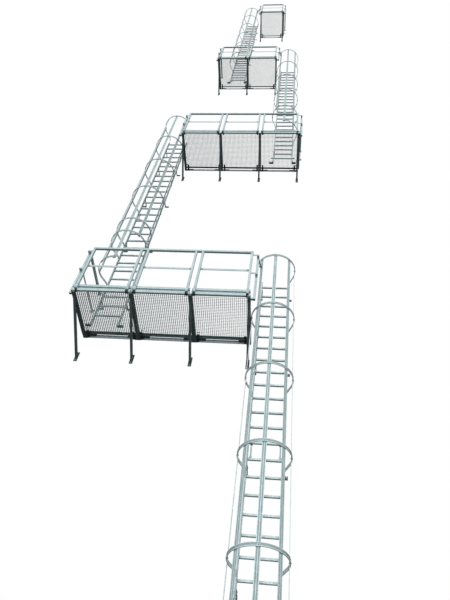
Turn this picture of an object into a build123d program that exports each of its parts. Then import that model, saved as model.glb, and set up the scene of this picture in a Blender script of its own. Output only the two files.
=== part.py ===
from build123d import *
import math
import os

os.makedirs("parts", exist_ok=True)

# Driving dimensions in millimetres. X runs right along the wall, Y runs into the wall, and the
# wall's face is Y = 0. Heights are counted from the ground under flight 1.
RUNG_STEP = 280
LANDING_RISES = [9080, 6720, 6460, 6720]
FLIGHT_X = [0, -3000, 0, -1760]
EXIT_SIDES = [-1, 1, -1, 1]
ORIGIN_RUNG = 2.5

# Ladder stiles are rectangular tubes and the rungs are square bars between them
CLEAR_WIDTH = 480
STILE_WIDTH = 20
STILE_DEPTH = 60
STILE_WALL = 3
RUNG_SIZE = 30
LADDER_Y = -190
RUNG_REACH_ABOVE_LANDING = 1300
STILE_PAST_RUNG = 134
SPLICE_INSET = 36
SPLICE_WIDTH = 22
SPLICE_DEPTH = 12
SPLICE_FOOT_WIDTH = 50
SPLICE_FOOT_HEIGHT = 14
SPLICE_FLARE = 46
SPLICE_RUNGS = [[11, 23], [13], [13], [13]]
FOOT_PLATE = 90
FOOT_THICKNESS = 8
FOOT_HEIGHT = 70

# Wall brackets of the ladder: a bent arm at each stile; the lowest pair is joined by a bar
BRACKET_RUNGS = [[2.5, 9.5, 16.5, 22.5, 29.5, 36.5]] + [[2.5, 9.5, 16.5, 22.5, 26.5]] * 3
BRACKET_THICKNESS = 8
BRACKET_HEIGHT = 60
BRACKET_OVERHANG = 60
JOINED_BRACKETS = 1
WALL_HOLE_RADIUS = 7
BRACKET_HOLE_INSET = 25

# Safety cage
HOOP_RADIUS = 360
HOOP_CENTRE_Y = -535
HOOP_BAND = 50
HOOP_THICKNESS = 5
HOOP_TAIL_ANGLE = 60
HOOP_BEND_Y = -250
HOOP_STEP = 1400
TOP_HOOP_ABOVE_LANDING = [1360, 1465, 1450, 1450]
CAGE_START = 2100
HALF_HOOP_START = 1180
EXIT_HOOP_ANGLE = 52
HALF_HOOP_ANGLE = 6
STRAP_WIDTH = 60
STRAP_THICKNESS = 4
STRAP_RIB = 4
STRAP_RIB_WIDTH = 8
STRAP_TURN = 45
STRAP_ANGLES = [STRAP_TURN * i for i in range(-2, 3)]
STRAP_END = 40
SEAT_GAP = 0.2

# Landings: bays of one width stand side by side on cantilever brackets
BAY_COUNTS = [3, 3, 2, 1]
BAY_PITCH = 1010
FIRST_BAY_X = [-2882, -2104, -1875, -800]
BAY_WIDTH = 990
LANDING_DEPTH = 1056
WALL_CLEARANCE = 60
EDGE_TOP = -22
EDGE_BOTTOM = -87
EDGE_THICKNESS = 5
EDGE_FLANGE = 20
SHELF_FRONT = 36
GRATING_DEPTH = 30
GRATING_BAR = 4
GRATING_PITCH = 34

# Railings
POST_SIZE = 40
POST_WALL = 3
POST_SPACING = 885
POST_BOTTOM = -67
RAIL_HEIGHT = 1165
TOP_RAIL_HEIGHT = 45
MID_RAIL_HEIGHT = 48
MID_RAIL_THICKNESS = 8
MID_RAIL_LEVEL = 614
SIDE_POST_OFFSET = 109
SIDE_POST_SETBACK = 101

# Toe boards are folded sheets: a lower web, a ledge outwards and an upper band
TOE_BOARD_TOP = 75
TOE_BOARD_LEDGE = 20
TOE_BOARD_THICKNESS = 4
TOE_BOARD_DEPTH = 26
END_BOARD_DEPTH = 30

# Cantilever brackets under the landings
ARM_HEIGHT = 50
ARM_WIDTH = 50
STRUT_SIZE = 40
STRUT_DROP = 520
STRUT_FRONT_Y = -960
CLAMP_SIZE = 30
CLAMP_HEIGHT = 1110
LINK_THICKNESS = 8
LINK_HEIGHT = 36
PLATE_THICKNESS = 10
PLATE_WIDTH = 400
PLATE_HEIGHT = 50
PLATE_TAB_WIDTH = 110
FOOT_PLATE_WIDTH = 60
FOOT_PLATE_HEIGHT = 210
FOOT_PLATE_HOLE_Z = 85
WALL_RAIL_TOP = -40
WALL_RAIL_HEIGHT = 80
WALL_RAIL_THICKNESS = 8

# Sizes that follow from the driving dimensions
ORIGIN_HEIGHT = ORIGIN_RUNG * RUNG_STEP
LANDING_HEIGHTS = [sum(LANDING_RISES[: i + 1]) for i in range(len(LANDING_RISES))]
FLIGHT_FOOT = [0] + LANDING_HEIGHTS[:-1]
STILE_X = CLEAR_WIDTH / 2 + STILE_WIDTH / 2
OUTER_WIDTH = CLEAR_WIDTH + 2 * STILE_WIDTH
POST_Y = -LANDING_DEPTH - POST_SIZE / 2


def z_of(height):
    """Frame Z of a height above the ground."""
    return height - ORIGIN_HEIGHT


def box(x0, x1, y0, y1, z0, z1):
    """Upright block between two corners."""
    block = Box(x1 - x0, y1 - y0, z1 - z0)
    return Pos((x0 + x1) / 2, (y0 + y1) / 2, (z0 + z1) / 2) * block


def tube_z(x, y, width, depth, wall, z0, z1):
    """Upright rectangular tube, open at both ends."""
    inner = 2 * wall
    profile = Rectangle(width, depth) - Rectangle(width - inner, depth - inner)
    return Pos(x, y, z0) * extrude(profile, z1 - z0)


def tube_x(x0, x1, y, z, depth, height, wall):
    """Rectangular tube lying along X, open at both ends."""
    inner = 2 * wall
    profile = Rectangle(depth, height) - Rectangle(depth - inner, height - inner)
    section = Plane(origin=(x0, y, z), x_dir=(0, 1, 0), z_dir=(1, 0, 0)) * profile
    return extrude(section, x1 - x0)


def wall_hole(x, z, depth):
    """Round bar along Y that cuts a fixing hole through a plate on the wall."""
    return Pos(x, -depth / 2, z) * Rot(90, 0, 0) * Cylinder(WALL_HOLE_RADIUS, 2 * depth)


def save(name, shapes):
    """Write the solids of one named piece."""
    export_step(Compound(children=list(shapes)), f"parts/{name}.step")


def rung_count(flight):
    """Rungs of a flight, the last of them a hand hold above the upper landing."""
    reach = LANDING_HEIGHTS[flight] + RUNG_REACH_ABOVE_LANDING - FLIGHT_FOOT[flight]
    return math.floor(reach / RUNG_STEP)


def rung_height(flight, rung):
    return FLIGHT_FOOT[flight] + rung * RUNG_STEP


def stile_top(flight):
    return rung_height(flight, rung_count(flight)) + STILE_PAST_RUNG


def make_stiles(flight):
    z0 = z_of(FLIGHT_FOOT[flight])
    z1 = z_of(stile_top(flight))
    for side in (-1, 1):
        x = FLIGHT_X[flight] + side * STILE_X
        yield tube_z(x, LADDER_Y, STILE_WIDTH, STILE_DEPTH, STILE_WALL, z0, z1)


def make_rungs(flight):
    half = CLEAR_WIDTH / 2
    for rung in range(1, rung_count(flight) + 1):
        z = z_of(rung_height(flight, rung))
        x = FLIGHT_X[flight]
        y0 = LADDER_Y - RUNG_SIZE / 2
        z0 = z - RUNG_SIZE / 2
        yield box(x - half, x + half, y0, y0 + RUNG_SIZE, z0, z0 + RUNG_SIZE)


def make_splices(flight):
    """Ties between two rungs beside the stiles' joints, each with a flared foot."""
    from_middle = CLEAR_WIDTH / 2 - SPLICE_INSET
    half = SPLICE_WIDTH / 2
    foot = SPLICE_FOOT_WIDTH / 2
    height = RUNG_STEP - RUNG_SIZE
    outline = Polyline(
        (-foot, 0),
        (foot, 0),
        (foot, SPLICE_FOOT_HEIGHT),
        (half, SPLICE_FLARE),
        (half, height),
        (-half, height),
        (-half, SPLICE_FLARE),
        (-foot, SPLICE_FOOT_HEIGHT),
        close=True,
    )
    for rung in SPLICE_RUNGS[flight]:
        z = z_of(rung_height(flight, rung)) + RUNG_SIZE / 2
        for side in (-1, 1):
            origin = (FLIGHT_X[flight] + side * from_middle, LADDER_Y, z)
            section = Plane(origin=origin, x_dir=(1, 0, 0), z_dir=(0, -1, 0)) * make_face(outline)
            yield extrude(section, SPLICE_DEPTH / 2, both=True)


def make_feet(flight):
    """Angle feet on the outer faces of the stiles."""
    z0 = z_of(FLIGHT_FOOT[flight])
    for side in (-1, 1):
        face = side * OUTER_WIDTH / 2
        profile = Polyline(
            (face, 0),
            (face + side * FOOT_PLATE, 0),
            (face + side * FOOT_PLATE, FOOT_THICKNESS),
            (face + side * FOOT_THICKNESS, FOOT_THICKNESS),
            (face + side * FOOT_THICKNESS, FOOT_HEIGHT),
            (face, FOOT_HEIGHT),
            close=True,
        )
        origin = (FLIGHT_X[flight], LADDER_Y, z0)
        section = Plane(origin=origin, x_dir=(1, 0, 0), z_dir=(0, -1, 0)) * make_face(profile)
        yield extrude(section, STILE_DEPTH / 2, both=True)


def half_bracket(flight, rung, side):
    """Arm on a stile's inner face, bent out along the wall, with a fixing hole at its end."""
    x = FLIGHT_X[flight]
    z = z_of(rung_height(flight, rung))
    z0 = z - BRACKET_HEIGHT / 2
    tip = side * (OUTER_WIDTH / 2 + BRACKET_OVERHANG)
    arm = side * CLEAR_WIDTH / 2
    inner = arm - side * BRACKET_THICKNESS
    profile = Polyline(
        (tip, 0),
        (inner, 0),
        (inner, LADDER_Y - STILE_DEPTH / 2),
        (arm, LADDER_Y - STILE_DEPTH / 2),
        (arm, -BRACKET_THICKNESS),
        (tip, -BRACKET_THICKNESS),
        close=True,
    )
    bracket = Pos(x, 0, z0) * extrude(make_face(profile), BRACKET_HEIGHT)
    return bracket - wall_hole(x + tip - side * BRACKET_HOLE_INSET, z, BRACKET_THICKNESS)


def make_wall_brackets(flight):
    """A pair of bent arms at each level; the lowest pair of flight 1 is joined by a bar."""
    x = FLIGHT_X[flight]
    for index, rung in enumerate(BRACKET_RUNGS[flight]):
        left = half_bracket(flight, rung, -1)
        right = half_bracket(flight, rung, 1)
        if flight > 0 or index >= JOINED_BRACKETS:
            yield left
            yield right
            continue
        z = z_of(rung_height(flight, rung))
        half = CLEAR_WIDTH / 2
        high = BRACKET_HEIGHT / 2
        yield box(x - half, x + half, -BRACKET_THICKNESS, 0, z - high, z + high) + left + right


def full_hoop_heights(flight):
    """Hoops step down from the top one; a last one closes the foot of the cage."""
    heights = [LANDING_HEIGHTS[flight] + TOP_HOOP_ABOVE_LANDING[flight]]
    start = FLIGHT_FOOT[flight] + CAGE_START
    while heights[-1] - HOOP_STEP > start:
        heights.append(heights[-1] - HOOP_STEP)
    if heights[-1] - start > HOOP_STEP / 4:
        heights.append(start)
    return heights


def cage_point(radius, angle):
    """Point of the cage circle; the angle is counted from the front towards +X."""
    turn = math.radians(angle)
    return (radius * math.sin(turn), HOOP_CENTRE_Y - radius * math.cos(turn))


def hoop_tail(radius, half_width, side):
    """Points of one tail seen from above: end on the stile, bend, and start of the arc."""
    tail_y = LADDER_Y + STILE_DEPTH / 2
    arc_start = cage_point(radius, side * (180 - HOOP_TAIL_ANGLE))
    return [(side * half_width, tail_y), (side * half_width, HOOP_BEND_Y), arc_start]


def hoop_outline(radius, half_width, start, end):
    """Corner points and arc of one long edge of the band, from its start to its end."""
    tail_angle = 180 - HOOP_TAIL_ANGLE
    before = hoop_tail(radius, half_width, -1) if start is None else [cage_point(radius, start)]
    after = hoop_tail(radius, half_width, 1) if end is None else [cage_point(radius, end)]
    start_angle = -tail_angle if start is None else start
    end_angle = tail_angle if end is None else end
    middle = cage_point(radius, (start_angle + end_angle) / 2)
    edges = [Line(p, q) for p, q in zip(before, before[1:])]
    edges.append(ThreePointArc(before[-1], middle, after[-1]))
    edges += [Line(p, q) for p, q in zip(after, after[1:])]
    return edges, before[0], after[0]


def hoop(x, height, start=None, end=None):
    """Flat band bent round the climber.

    Its tails lie on the outer faces of the stiles. With a start or end angle, counted in degrees
    from the front towards +X, the band stops there and has no tail on that side.
    """
    inner_half = OUTER_WIDTH / 2
    outer_half = inner_half + HOOP_THICKNESS
    outer, outer_first, outer_last = hoop_outline(HOOP_RADIUS, outer_half, start, end)
    inner_radius = HOOP_RADIUS - HOOP_THICKNESS
    inner, inner_first, inner_last = hoop_outline(inner_radius, inner_half, start, end)
    caps = [Line(outer_first, inner_first), Line(outer_last, inner_last)]
    face = make_face(outer + inner + caps)
    return Pos(x, 0, z_of(height) - HOOP_BAND / 2) * extrude(face, HOOP_BAND)


def make_hoops(flight):
    """Whole hoops, a part hoop over the landing exit, and a half hoop beside the railing."""
    x = FLIGHT_X[flight]
    exit_side = EXIT_SIDES[flight]
    heights = full_hoop_heights(flight)
    if exit_side < 0:
        yield hoop(x, heights[0], start=-EXIT_HOOP_ANGLE)
    else:
        yield hoop(x, heights[0], end=EXIT_HOOP_ANGLE)
    for height in heights[1:]:
        yield hoop(x, height)
    if flight > 0:
        low = FLIGHT_FOOT[flight] + HALF_HOOP_START
        if exit_side > 0:
            yield hoop(x, low, end=HALF_HOOP_ANGLE)
        else:
            yield hoop(x, low, start=-HALF_HOOP_ANGLE)


def strap_profile():
    """Flat bar with three ribs on its outer face; the rib tops lie on Y = 0, facing -Y."""
    middle_y = STRAP_RIB + STRAP_THICKNESS / 2
    face = Pos(0, middle_y) * Rectangle(STRAP_WIDTH, STRAP_THICKNESS)
    pitch = (STRAP_WIDTH - STRAP_RIB_WIDTH) / 2
    for step in (-1, 0, 1):
        face += Pos(step * pitch, STRAP_RIB / 2) * Rectangle(STRAP_RIB_WIDTH, STRAP_RIB)
    return face


def strap_span(flight, angle):
    """Foot and top height of the strap at one angle."""
    heights = full_hoop_heights(flight)
    side = 0 if angle == 0 else math.copysign(1, angle)
    exit_side = EXIT_SIDES[flight]
    low = heights[-1]
    if flight > 0 and side != exit_side:
        low = FLIGHT_FOOT[flight] + HALF_HOOP_START
    high = heights[0]
    if side == exit_side and abs(angle) > EXIT_HOOP_ANGLE:
        high = heights[1]
    return low - STRAP_END, high + STRAP_END


def strap_seat():
    """Distance of a strap's outer face from the cage's centre line."""
    inner = HOOP_RADIUS - HOOP_THICKNESS
    return math.sqrt(inner**2 - (STRAP_WIDTH / 2) ** 2) - SEAT_GAP


def make_straps(flight):
    profile = strap_profile()
    seat = strap_seat()
    for angle in STRAP_ANGLES:
        low, high = strap_span(flight, angle)
        centre = Pos(FLIGHT_X[flight], HOOP_CENTRE_Y, z_of(low))
        place = centre * Rot(0, 0, angle) * Pos(0, -seat, 0)
        yield place * extrude(profile, high - low)


def bay_centres(landing):
    return [FIRST_BAY_X[landing] + BAY_PITCH * i for i in range(BAY_COUNTS[landing])]


def landing_ends(landing):
    """X of the left and right edge of a landing's floor."""
    centres = bay_centres(landing)
    return centres[0] - BAY_WIDTH / 2, centres[-1] + BAY_WIDTH / 2


def make_floor_frames(landing):
    """Each bay has a rim of sheet: an upright web, a lower flange and a shelf for the grating."""
    floor_z = z_of(LANDING_HEIGHTS[landing])
    for x in bay_centres(landing):
        depth = LANDING_DEPTH - WALL_CLEARANCE
        middle_y = -(LANDING_DEPTH + WALL_CLEARANCE) / 2
        web = Rectangle(BAY_WIDTH, depth)
        web -= Rectangle(BAY_WIDTH - 2 * EDGE_THICKNESS, depth - 2 * EDGE_THICKNESS)
        opening = Rectangle(BAY_WIDTH - 2 * EDGE_FLANGE, depth - EDGE_FLANGE - SHELF_FRONT)
        shelf = Rectangle(BAY_WIDTH, depth) - Pos(0, (SHELF_FRONT - EDGE_FLANGE) / 2) * opening
        rim = extrude(web, EDGE_TOP - EDGE_BOTTOM)
        rim += extrude(shelf, EDGE_THICKNESS)
        shelf_z = -GRATING_DEPTH - EDGE_THICKNESS - EDGE_BOTTOM
        rim += Pos(0, 0, shelf_z) * extrude(shelf, EDGE_THICKNESS)
        yield Pos(x, middle_y, floor_z + EDGE_BOTTOM) * rim


def make_gratings(landing):
    """Bearing bars from the toe board to the wall side, joined by a flat bar at each end."""
    top = z_of(LANDING_HEIGHTS[landing])
    for x in bay_centres(landing):
        half = BAY_WIDTH / 2 - EDGE_THICKNESS
        front = -LANDING_DEPTH + TOE_BOARD_DEPTH
        back = -WALL_CLEARANCE - EDGE_THICKNESS
        count = round(2 * half / GRATING_PITCH)
        pitch = (2 * half - GRATING_BAR) / count
        z0 = top - GRATING_DEPTH
        panel = box(x - half, x + half, front, front + GRATING_BAR, z0, top)
        panel += box(x - half, x + half, back - GRATING_BAR, back, z0, top)
        bars = []
        for i in range(count + 1):
            x0 = x - half + i * pitch
            bars.append(box(x0, x0 + GRATING_BAR, front, back, z0, top))
        yield panel.fuse(*bars)


def post_xs(landing):
    for x in bay_centres(landing):
        yield x - POST_SPACING / 2
        yield x + POST_SPACING / 2


def make_front_rails(landing):
    """One top rail over all the posts, and a flat middle rail between the posts of each bay."""
    floor_z = z_of(LANDING_HEIGHTS[landing])
    xs = list(post_xs(landing))
    half = POST_SIZE / 2
    z = floor_z + RAIL_HEIGHT - TOP_RAIL_HEIGHT / 2
    yield tube_x(xs[0] - half, xs[-1] + half, POST_Y, z, POST_SIZE, TOP_RAIL_HEIGHT, POST_WALL)
    z0 = floor_z + MID_RAIL_LEVEL - MID_RAIL_HEIGHT / 2
    y1 = -LANDING_DEPTH
    for left, right in zip(xs[::2], xs[1::2]):
        y0 = y1 - MID_RAIL_THICKNESS
        yield box(left + half, right - half, y0, y1, z0, z0 + MID_RAIL_HEIGHT)


def toe_board_profile(depth, bottom):
    """Section of a folded toe board; its outer face is at 0 and its inner face at the depth."""
    sheet = TOE_BOARD_THICKNESS
    return Polyline(
        (0, TOE_BOARD_TOP),
        (0, TOE_BOARD_LEDGE),
        (depth - sheet, TOE_BOARD_LEDGE),
        (depth - sheet, bottom),
        (depth, bottom),
        (depth, TOE_BOARD_LEDGE + sheet),
        (sheet, TOE_BOARD_LEDGE + sheet),
        (sheet, TOE_BOARD_TOP),
        close=True,
    )


def end_board(landing):
    """Edge channel and toe board outside the closed end, with end plates at the front."""
    side = EXIT_SIDES[landing]
    floor_z = z_of(LANDING_HEIGHTS[landing])
    inner = landing_ends(landing)[0 if side < 0 else 1]
    outer = inner + side * END_BOARD_DEPTH
    sheet = TOE_BOARD_THICKNESS
    front = -LANDING_DEPTH
    profile = make_face(toe_board_profile(END_BOARD_DEPTH, EDGE_BOTTOM))
    low = Rectangle(END_BOARD_DEPTH, sheet, align=(Align.MIN, Align.MIN))
    lip = Rectangle(sheet, EDGE_TOP - EDGE_BOTTOM, align=(Align.MIN, Align.MIN))
    profile += Pos(0, EDGE_BOTTOM) * low + Pos(0, EDGE_BOTTOM) * lip
    origin = (outer, front + sheet, floor_z)
    section = Plane(origin=origin, x_dir=(-side, 0, 0), z_dir=(0, side, 0)) * profile
    board = extrude(section, side * (LANDING_DEPTH - sheet - WALL_CLEARANCE))
    for z0, z1 in ((EDGE_BOTTOM, EDGE_TOP), (TOE_BOARD_LEDGE, TOE_BOARD_TOP)):
        board += bar_between(inner, outer, front, front + sheet, floor_z + z0, floor_z + z1)
    return board


def make_toe_boards(landing):
    floor_z = z_of(LANDING_HEIGHTS[landing])
    face = make_face(toe_board_profile(TOE_BOARD_DEPTH, -GRATING_DEPTH))
    for x in bay_centres(landing):
        origin = (x, -LANDING_DEPTH, floor_z)
        section = Plane(origin=origin, x_dir=(0, 1, 0), z_dir=(1, 0, 0)) * face
        yield extrude(section, BAY_WIDTH / 2 - EDGE_THICKNESS, both=True)
    yield end_board(landing)


def side_post_x(landing, side):
    xs = list(post_xs(landing))
    return (xs[0] if side < 0 else xs[-1]) + side * SIDE_POST_OFFSET


def bar_between(xa, xb, y0, y1, z0, z1):
    """Upright block whose X ends may come in either order."""
    return box(min(xa, xb), max(xa, xb), y0, y1, z0, z1)


def side_post(landing, side):
    """Post outside one end, welded to a foot bar and to two links behind the corner post."""
    floor_z = z_of(LANDING_HEIGHTS[landing])
    edge = landing_ends(landing)[0 if side < 0 else 1]
    if side == EXIT_SIDES[landing]:
        edge += side * END_BOARD_DEPTH
    x = side_post_x(landing, side)
    y = POST_Y + SIDE_POST_SETBACK
    half = POST_SIZE / 2
    low = floor_z + EDGE_BOTTOM
    top = floor_z + RAIL_HEIGHT
    if side == EXIT_SIDES[landing]:
        top -= TOP_RAIL_HEIGHT
    post = tube_z(x, y, POST_SIZE, POST_SIZE, POST_WALL, low, top)
    face = x - side * half
    post += bar_between(edge, face, y - half, y + half, low, low + LINK_HEIGHT)
    corner = x - side * SIDE_POST_OFFSET
    back = POST_Y + half
    for level in (MID_RAIL_LEVEL, RAIL_HEIGHT):
        z1 = floor_z + level - TOP_RAIL_HEIGHT
        z0 = z1 - LINK_HEIGHT
        tip = x + side * half
        post += bar_between(corner, tip, back, back + LINK_THICKNESS, z0, z1)
        post += bar_between(face, tip, back + LINK_THICKNESS, y - half, z0, z1)
    return post


def make_posts(landing):
    """Front posts, then the side posts at both ends."""
    z0 = z_of(LANDING_HEIGHTS[landing]) + POST_BOTTOM
    z1 = z_of(LANDING_HEIGHTS[landing]) + RAIL_HEIGHT - TOP_RAIL_HEIGHT
    for x in post_xs(landing):
        yield tube_z(x, POST_Y, POST_SIZE, POST_SIZE, POST_WALL, z0, z1)
    for side in (-1, 1):
        yield side_post(landing, side)


def closed_end_rails(landing):
    """Top and middle rail from the side post at the closed end to plates on the wall."""
    floor_z = z_of(LANDING_HEIGHTS[landing])
    x = side_post_x(landing, EXIT_SIDES[landing])
    half = POST_SIZE / 2
    front = POST_Y + SIDE_POST_SETBACK
    z_top = floor_z + RAIL_HEIGHT - TOP_RAIL_HEIGHT
    yield box(x - half, x + half, front - half, -PLATE_THICKNESS, z_top, z_top + TOP_RAIL_HEIGHT)
    z_mid = floor_z + MID_RAIL_LEVEL
    thick = MID_RAIL_THICKNESS / 2
    high = MID_RAIL_HEIGHT / 2
    yield box(x - thick, x + thick, front + half, -PLATE_THICKNESS, z_mid - high, z_mid + high)
    for z in (z_top + TOP_RAIL_HEIGHT / 2, z_mid):
        yield box(x - POST_SIZE, x + POST_SIZE, -PLATE_THICKNESS, 0, z - POST_SIZE, z + POST_SIZE)


def make_rails(landing):
    yield from make_front_rails(landing)
    yield from closed_end_rails(landing)


def exit_clamp(landing):
    """Bar from the open end's side post to the cage strap beside it."""
    floor_z = z_of(LANDING_HEIGHTS[landing])
    side = EXIT_SIDES[landing]
    post_x = side_post_x(landing, -side)
    post_y = POST_Y + SIDE_POST_SETBACK + POST_SIZE / 2
    half = CLAMP_SIZE / 2
    seat = strap_seat() + SEAT_GAP
    turn = math.radians(STRAP_TURN)
    strap_x = FLIGHT_X[landing] + side * seat * math.sin(turn)
    strap_y = HOOP_CENTRE_Y - seat * math.cos(turn)
    reach = half * math.cos(turn)
    profile = Polyline(
        (post_x - side * half, post_y),
        (post_x + side * half, post_y),
        (strap_x + side * reach, strap_y + reach),
        (strap_x - side * reach, strap_y - reach),
        close=True,
    )
    z = floor_z + CLAMP_HEIGHT - half
    return Pos(0, 0, z) * extrude(make_face(profile), CLAMP_SIZE)


def bracket_xs(landing):
    """Brackets stand under both ends and under each gap between two bays."""
    left, right = landing_ends(landing)
    xs = [left + ARM_WIDTH / 2]
    for x in bay_centres(landing)[:-1]:
        xs.append(x + BAY_PITCH / 2)
    xs.append(right - ARM_WIDTH / 2)
    return xs


def make_brackets(landing):
    """Arm along the underside of the floor, a strut back to the wall, and their wall plates."""
    top = z_of(LANDING_HEIGHTS[landing]) + EDGE_BOTTOM
    low = top - ARM_HEIGHT
    for x in bracket_xs(landing):
        back = -WALL_RAIL_THICKNESS
        front = back - PLATE_THICKNESS
        half = ARM_WIDTH / 2
        arm = box(x - half, x + half, -LANDING_DEPTH, front, low, top)
        yield arm + wall_plate(landing, x, front, back) + strut(x, low) + foot_plate(x, low)


def wall_plate(landing, x, front, back):
    """T-shaped plate: a long strip on the wall rail and a tab down behind the arm."""
    z1 = z_of(LANDING_HEIGHTS[landing]) + WALL_RAIL_TOP
    left, right = landing_ends(landing)
    x0 = max(x - PLATE_WIDTH / 2, left)
    x1 = min(x + PLATE_WIDTH / 2, right)
    plate = box(x0, x1, front, back, z1 - PLATE_HEIGHT, z1)
    tab0 = max(x - PLATE_TAB_WIDTH / 2, left)
    tab1 = min(x + PLATE_TAB_WIDTH / 2, right)
    low = z_of(LANDING_HEIGHTS[landing]) + EDGE_BOTTOM - ARM_HEIGHT
    return plate + box(tab0, tab1, front, back, low, z1)


def strut(x, z_top):
    """Sloping bar with its upper end cut to the arm and its lower end to the foot plate."""
    z_low = z_top - STRUT_DROP
    slope = STRUT_DROP / -STRUT_FRONT_Y
    cut = STRUT_SIZE * math.sqrt(1 + 1 / slope**2)
    drop = STRUT_SIZE * math.sqrt(1 + slope**2)
    foot_y = -PLATE_THICKNESS
    z_foot = z_low + PLATE_THICKNESS * slope
    profile = Polyline(
        (STRUT_FRONT_Y, z_top),
        (STRUT_FRONT_Y + cut, z_top),
        (foot_y, z_foot + drop),
        (foot_y, z_foot),
        close=True,
    )
    section = Plane(origin=(x, 0, 0), x_dir=(0, 1, 0), z_dir=(1, 0, 0)) * make_face(profile)
    return extrude(section, STRUT_SIZE / 2, both=True)


def foot_plate(x, z_top):
    z = z_top - STRUT_DROP + STRUT_SIZE
    half = FOOT_PLATE_WIDTH / 2
    high = FOOT_PLATE_HEIGHT / 2
    plate = box(x - half, x + half, -PLATE_THICKNESS, 0, z - high, z + high)
    for side in (-1, 1):
        plate -= wall_hole(x, z + side * FOOT_PLATE_HOLE_Z, PLATE_THICKNESS)
    return plate


def wall_rail(landing):
    """Flat rail on the wall that the plates of the bracket arms are bolted to."""
    left, right = landing_ends(landing)
    top = z_of(LANDING_HEIGHTS[landing]) + WALL_RAIL_TOP
    return box(left, right, -WALL_RAIL_THICKNESS, 0, top - WALL_RAIL_HEIGHT, top)


flights = range(len(FLIGHT_X))
landings = range(len(BAY_COUNTS))

for flight in flights:
    number = flight + 1
    save(f"flight_{number}_stiles", make_stiles(flight))
    save(f"flight_{number}_rungs", make_rungs(flight))
    save(f"flight_{number}_wall_brackets", make_wall_brackets(flight))
    save(f"flight_{number}_cage_hoops", make_hoops(flight))
    save(f"flight_{number}_cage_straps", make_straps(flight))

for landing in landings:
    number = landing + 1
    save(f"landing_{number}_floor_frames", make_floor_frames(landing))
    save(f"landing_{number}_gratings", make_gratings(landing))
    save(f"landing_{number}_brackets", make_brackets(landing))
    save(f"landing_{number}_posts", make_posts(landing))
    save(f"landing_{number}_rails", make_rails(landing))

save("stile_splices", [bar for flight in flights for bar in make_splices(flight)])
save("stile_feet", [foot for flight in flights for foot in make_feet(flight)])
save("exit_clamps", [exit_clamp(landing) for landing in landings])
save("toe_boards", [board for landing in landings for board in make_toe_boards(landing)])
save("wall_rails", [wall_rail(landing) for landing in landings])
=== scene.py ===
import math

import bmesh
import bpy
from mathutils import Matrix, Vector


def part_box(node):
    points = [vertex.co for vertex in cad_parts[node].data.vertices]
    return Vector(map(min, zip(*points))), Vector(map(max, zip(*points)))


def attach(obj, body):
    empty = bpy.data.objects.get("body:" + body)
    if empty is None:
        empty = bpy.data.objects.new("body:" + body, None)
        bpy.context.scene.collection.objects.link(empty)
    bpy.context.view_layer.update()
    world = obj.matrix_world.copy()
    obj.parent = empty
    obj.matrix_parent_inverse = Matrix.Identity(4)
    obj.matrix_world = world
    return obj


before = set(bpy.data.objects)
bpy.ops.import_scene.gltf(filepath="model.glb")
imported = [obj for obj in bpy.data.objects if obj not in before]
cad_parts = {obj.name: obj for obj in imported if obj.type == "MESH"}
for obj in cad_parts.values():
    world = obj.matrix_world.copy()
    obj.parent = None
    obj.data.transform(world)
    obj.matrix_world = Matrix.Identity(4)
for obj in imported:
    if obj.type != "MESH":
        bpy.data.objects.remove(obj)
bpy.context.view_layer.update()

# Lengths are in metres, in the part's frame: the wall's face is Y = 0, the object stands in front of it
FLIGHTS = (1, 2, 3, 4)
LANDINGS = (1, 2, 3, 4)
GROUND_Z = -0.70
SIDES = (-1, 1)
UP = (0, 0, 1)
DOWN = (0, 0, -1)
TO_FRONT = (0, -1, 0)
TO_WALL = (0, 1, 0)

# Measures that tell points and parts of the CAD nodes apart
NEAR = 0.001
LONG = 0.5
THIN = 0.02

# Sizes that the CAD nodes have
STILE_INNER = 0.24
STILE_OUTER = 0.26
STILE_Y = -0.19
RUNG_SIZE = 0.03
CAGE_Y = -0.535
CAGE_RADIUS = 0.36
HOOP_THICKNESS = 0.005
HOOP_TAIL_ANGLE = 120
HOOP_TAIL_END_Y = -0.16
HOOP_BEND_Y = -0.25
STRAP_INNER_FACE = 0.3455
BRACKET_THICKNESS = 0.008
BRACKET_HOLE_X = 0.295
FOOT_THICKNESS = 0.008
TOE_BOARD_TOP = 0.075
ARM_HALF = 0.025
ARM_DEPTH = 0.05
STRUT_DROP = 0.52
STRUT_HALF = 0.02
PLATE_FACE_Y = -0.018
FOOT_PLATE_FACE_Y = -0.01

# Edges of blocks and weld seams
EDGE_LIMIT = 0.45
EDGE_TAPER = 0.7
SEAM_SIDES = 6
SEAM_RIPPLE = 0.12
SEAM_RIPPLE_STEP = 2.4
SEAM_GAP = 0.0005
STEEP = 0.9
SQUARE_STEPS = (-0.8, -0.27, 0.27, 0.8)
SHARP_ANGLE = 35
SEAM_SHARP_ANGLE = 60


def solids(node):
    """Points of each separate solid of a CAD node."""
    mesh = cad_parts[node].data
    spots = {}
    index = []
    for vertex in mesh.vertices:
        key = tuple(round(value, 4) for value in vertex.co)
        index.append(spots.setdefault(key, len(spots)))
    leader = list(range(len(spots)))

    def find(item):
        """Leader of the group that a spot is in."""
        while leader[item] != item:
            leader[item] = leader[leader[item]]
            item = leader[item]
        return item

    for edge in mesh.edges:
        leader[find(index[edge.vertices[0]])] = find(index[edge.vertices[1]])
    groups = {}
    for key, item in spots.items():
        groups.setdefault(find(item), []).append(Vector(key))
    return list(groups.values())


def corners(points):
    """Lowest and highest corner of some points."""
    low = Vector([min(p[axis] for p in points) for axis in range(3)])
    high = Vector([max(p[axis] for p in points) for axis in range(3)])
    return low, high


def boxes(node):
    """Lowest and highest corner of each solid of a CAD node."""
    return [corners(points) for points in solids(node)]


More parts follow.
